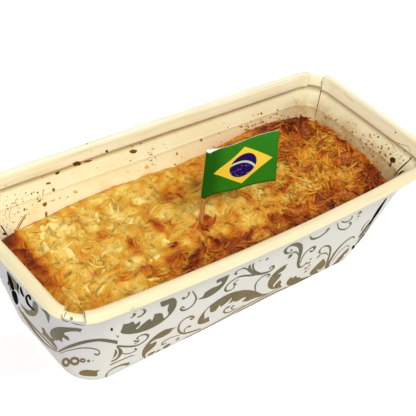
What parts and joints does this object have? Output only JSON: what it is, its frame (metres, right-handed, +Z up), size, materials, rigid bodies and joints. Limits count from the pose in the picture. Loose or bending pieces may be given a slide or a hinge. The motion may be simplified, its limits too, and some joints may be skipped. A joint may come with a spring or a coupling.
{
  "type": "cassava coconut cake",
  "caption": "Cassava and coconut loaf cake baked in a printed paper case with a rolled rim, with a small paper flag on a pick in its top.",
  "frame": {"origin": "middle of the paper case's floor, on its underside", "axes": "+X along the case from the lower end of the cake to its higher end, +Y from the long side with the bowed rim to the other long side, +Z up"},
  "size_m": [0.2026, 0.0881, 0.0763],
  "materials": {
    "case_paper": "smooth coated board, off-white with an olive-brown scroll print outside and cream inside and on the rolled rim",
    "cake_crust": "moist baked cassava and coconut crust, pale gold to dark brown",
    "pick_wood": "bare wood",
    "flag_paper": "printed paper, green with a yellow rhombus and a blue disc"
  },
  "bodies": {
    "root": {"paper_case": "case_paper", "cake": "cake_crust", "flag_stick": "pick_wood", "flag": "flag_paper"}
  },
  "joints": []
}
